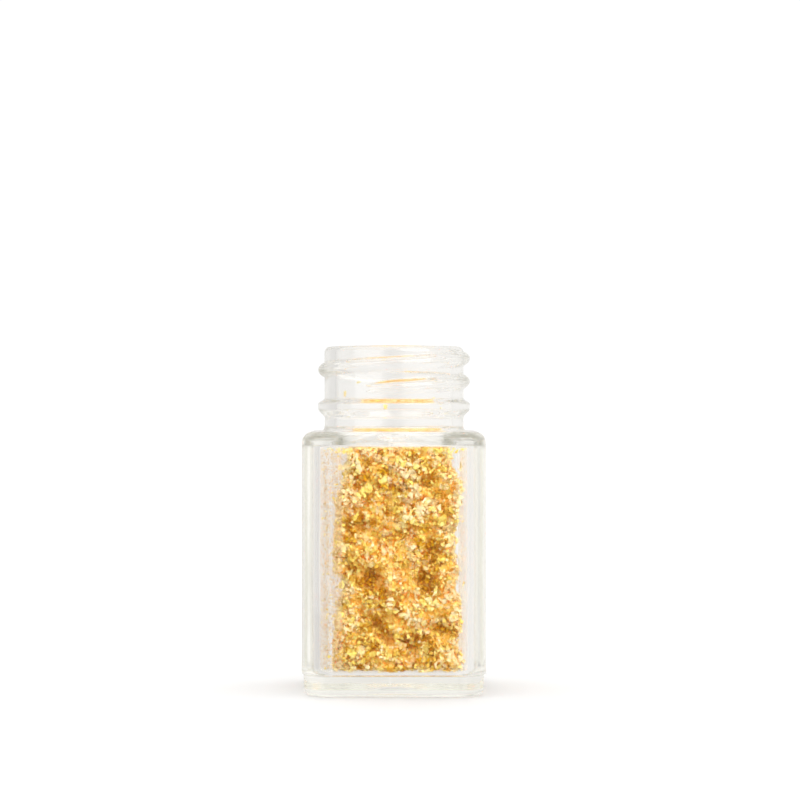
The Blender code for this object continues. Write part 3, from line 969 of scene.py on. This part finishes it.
def make_lamp(unlit, name, place, size, watts):
    """A soft lamp for everything but what the unlit collection leaves out."""
    data = bpy.data.lights.new(name, "AREA")
    data.shape = "RECTANGLE"
    data.size, data.size_y = size
    data.energy = watts
    lamp = new_object(name, data)
    lamp.location = place
    lamp.visible_transmission = False
    lamp.light_linking.receiver_collection = unlit
    lamp.rotation_mode = "QUATERNION"
    lamp.rotation_quaternion = (LAMP_AIM - Vector(place)).to_track_quat("-Z", "Y")


def make_world():
    """A white room. What is seen through the glass and in its mirrorings has soft darker parts."""
    world = bpy.data.worlds.new("studio")
    bpy.context.scene.world = world
    world.cycles.sampling_method = "NONE"
    world.use_nodes = True
    tree = world.node_tree
    nodes, link = tree.nodes, tree.links.new
    nodes.remove(nodes["Background"])
    where = nodes.new("ShaderNodeTexCoord")
    split = nodes.new("ShaderNodeSeparateXYZ")
    link(where.outputs["Generated"], split.inputs["Vector"])

    def ramp_of(axis, stops, reach=1.0):
        """Brightness against one part of the direction, over -reach to reach."""
        half = nodes.new("ShaderNodeMapRange")
        half.inputs["From Min"].default_value = -reach
        half.inputs["From Max"].default_value = reach
        link(split.outputs[axis], half.inputs["Value"])
        ramp = nodes.new("ShaderNodeValToRGB")
        ramp.color_ramp.interpolation = "EASE"
        places = [(place / reach + 1) / 2 for place, _ in stops]
        first, last = ramp.color_ramp.elements
        first.position, last.position = places[0], places[-1]
        for place in places[1:-1]:
            ramp.color_ramp.elements.new(place)
        for element, (_, value) in zip(ramp.color_ramp.elements, stops):
            element.color = (value, value, value, 1.0)
        link(half.outputs["Result"], ramp.inputs["Fac"])
        return ramp.outputs["Color"]

    def product(first, second):
        node = nodes.new("ShaderNodeMix")
        node.data_type = "RGBA"
        node.blend_type = "MULTIPLY"
        node.inputs["Factor"].default_value = 1.0
        link(first, node.inputs[6])
        if isinstance(second, tuple):
            node.inputs[7].default_value = (*second, 1.0)
        else:
            link(second, node.inputs[7])
        return node.outputs[2]

    def light(colour, strength):
        """A warm grey room at a brightness, or an even colour."""
        shader = nodes.new("ShaderNodeBackground")
        shader.inputs["Strength"].default_value = strength
        if isinstance(colour, tuple):
            shader.inputs["Color"].default_value = (*colour, 1.0)
        else:
            link(product(colour, WARMTH), shader.inputs["Color"])
        return shader.outputs["Background"]

    def mixed(share, first, second):
        mix = nodes.new("ShaderNodeMixShader")
        link(share, mix.inputs["Fac"])
        link(first, mix.inputs[1])
        link(second, mix.inputs[2])
        return mix.outputs["Shader"]

    def compare(operation, socket, value):
        node = nodes.new("ShaderNodeMath")
        node.operation = operation
        node.inputs[1].default_value = value
        link(path.outputs[socket], node.inputs[0])
        return node.outputs["Value"]

    path = nodes.new("ShaderNodeLightPath")
    backdrop = ramp_of("X", BACKDROP_X, BACKDROP_REACH)
    behind = light(product(ramp_of("X", ROOM_X), backdrop), 1.0)
    mirrored = light(product(ramp_of("X", MIRRORED_X), ramp_of("Y", MIRRORED_Y)), 1.0)
    inner = light(product(ramp_of("Z", INNER_Z), ramp_of("X", INNER_X)), INNER_STRENGTH)
    repeated = light(product(ramp_of("X", TWICE_X), ramp_of("Z", TWICE_Z)), TWICE_STRENGTH)
    twice = mixed(compare("GREATER_THAN", "Glossy Depth", 1.5), mirrored, repeated)
    shallow = compare("LESS_THAN", "Transmission Depth", 2.5)
    reflected = mixed(shallow, inner, twice)
    traced = mixed(compare("GREATER_THAN", "Glossy Depth", 0.5), behind, reflected)
    lit = mixed(path.outputs["Is Diffuse Ray"], traced, light(WHITE, LIT_STRENGTH))
    seen = mixed(path.outputs["Is Camera Ray"], lit, light(WHITE, SEEN_STRENGTH))
    link(seen, nodes["World Output"].inputs["Surface"])


def all_but(name, objects):
    """A collection for light linking that stands for everything except some objects."""
    group = bpy.data.collections.new(name)
    for obj in objects:
        group.objects.link(obj)
    for member in group.collection_objects:
        member.light_linking.link_state = "EXCLUDE"
    return group


def make_studio(bottle):
    make_world()
    floor = make_floor()
    unlit = all_but("not_the_floor", [floor])
    for lamp in LAMPS:
        make_lamp(unlit, *lamp)
    make_lamp(all_but("not_the_glass", [floor, bottle]), *BACK_LAMP)
    scene = bpy.context.scene
    scene.view_settings.view_transform = "Standard"
    scene.cycles.max_bounces = 40
    scene.cycles.transmission_bounces = 32
    scene.cycles.transparent_max_bounces = 16
    scene.cycles.glossy_bounces = 32
    scene.cycles.filter_width = 1.8


# ---------------------------------------------------------------- assembly


def dress_bottle():
    mesh = glass_mesh()
    mesh.materials.append(glass_material())
    bottle = new_object("clear_glass_bottle", mesh)
    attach(bottle, "bottle")
    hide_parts("glass_bottle")
    return bottle


def dress_charge(leaf):
    # The core's deeper leaf colours are painted shade for the gaps between the flakes
    core = charge_core(leaf_material("packed_leaf", *PACKED_LEAF, cells=True))
    pieces = []
    for layer in FLAKE_LAYERS:
        pieces += flake_layer(*layer, leaf)
    for piece in [core] + pieces:
        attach(piece, "charge")
    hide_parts("gold_flake_charge")


def dress_loose_flakes(leaf):
    nodes = sorted(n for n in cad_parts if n.startswith("loose_flake_"))
    for number, node in enumerate(nodes, start=1):
        piece = clinging_leaf(number, node, leaf)
        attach(piece, "bottle")
        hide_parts(node)
    # Dust colours, darker than the leaf as painted shade beside the charge
    dust = leaf_material("gold_dust_and_shade", *GOLD_DUST_AND_SHADE)
    pieces = [grains("stray_gold_specks", SPECK_SEED, SPECKLED, *SPECK_SIZES, leaf)]
    for number, patch in enumerate(DUST_AND_SHADE_PATCHES, start=1):
        name = f"stray_gold_dust_{number}"
        pieces.append(grains(name, DUST_SEED + number, [patch], *DUST_SIZES, dust))
    for piece in pieces:
        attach(piece, "bottle")


make_camera()
gold = leaf_material("gold_leaf", *GOLD_LEAF)
make_studio(dress_bottle())
dress_charge(gold)
dress_loose_flakes(gold)
